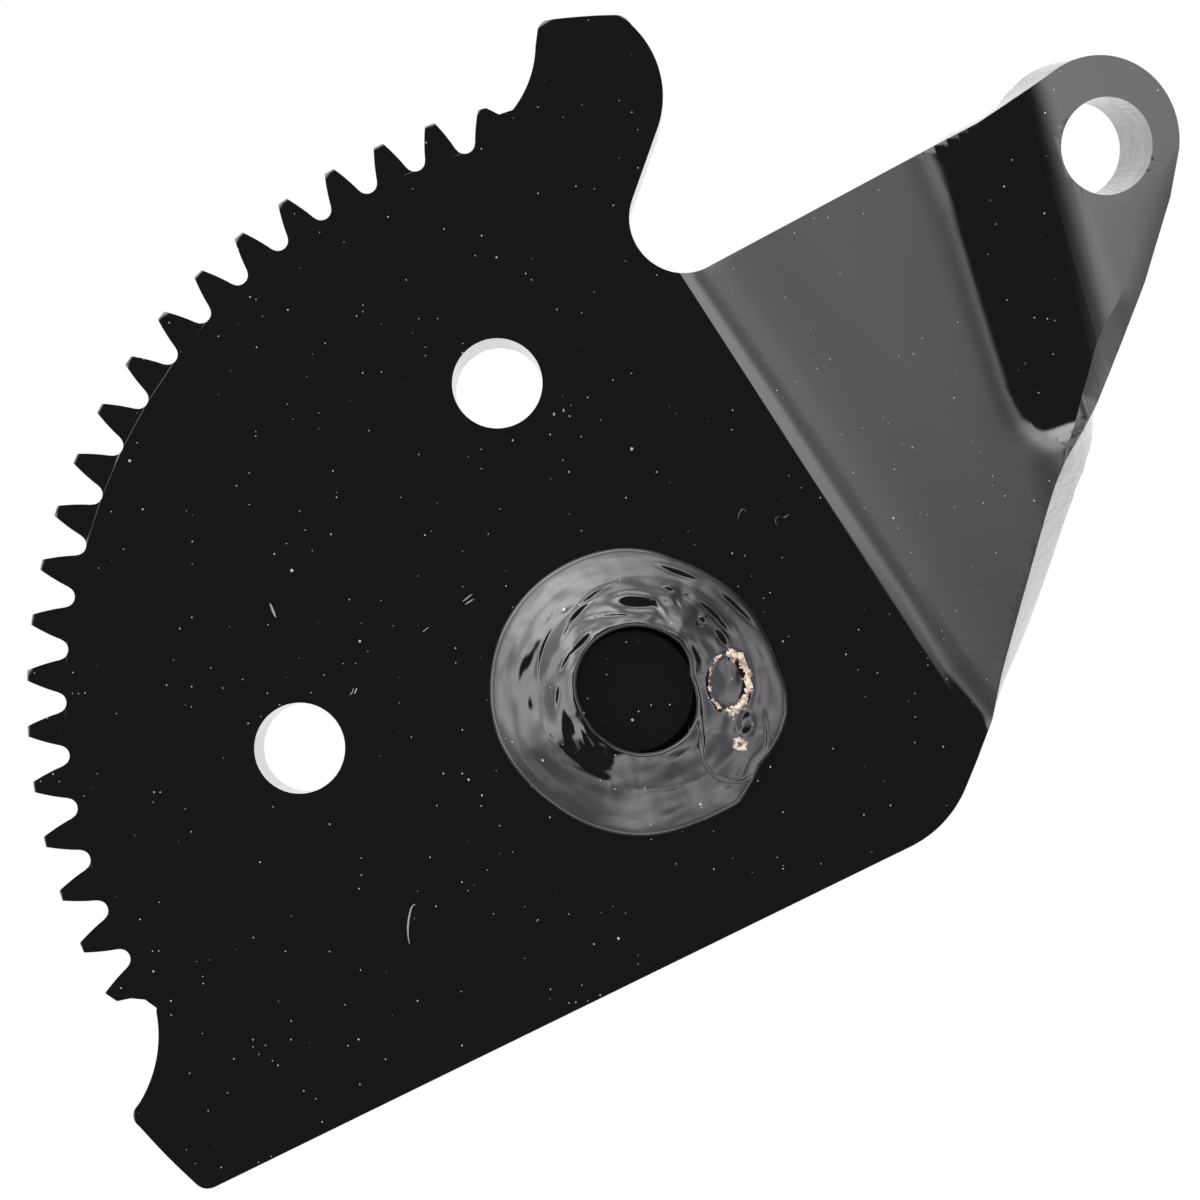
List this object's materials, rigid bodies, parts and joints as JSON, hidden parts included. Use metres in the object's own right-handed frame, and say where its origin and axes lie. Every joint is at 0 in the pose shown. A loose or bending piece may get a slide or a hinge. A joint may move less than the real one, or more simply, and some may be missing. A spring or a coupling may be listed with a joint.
{
  "type": "sector gear",
  "caption": "Painted steel sector gear: a toothed plate with bolt holes and a cranked lever arm, welded to a round pivot shaft.",
  "frame": {"origin": "on the axis of the teeth and the pivot shaft, at the plate's back face", "axes": "+Z along the shaft's axis toward the front face, which is the welded one; +Y up and +X right as the front face is seen, with the teeth at the left"},
  "size_m": [0.1368, 0.1438, 0.0959],
  "materials": {
    "black_paint": "gloss",
    "black_paint_weld": "gloss, over rippled weld metal",
    "shaft_steel": "gloss"
  },
  "bodies": {
    "root": {"sector_plate": "black_paint", "pivot_shaft": "shaft_steel", "weld_bead": "black_paint_weld"}
  },
  "joints": []
}
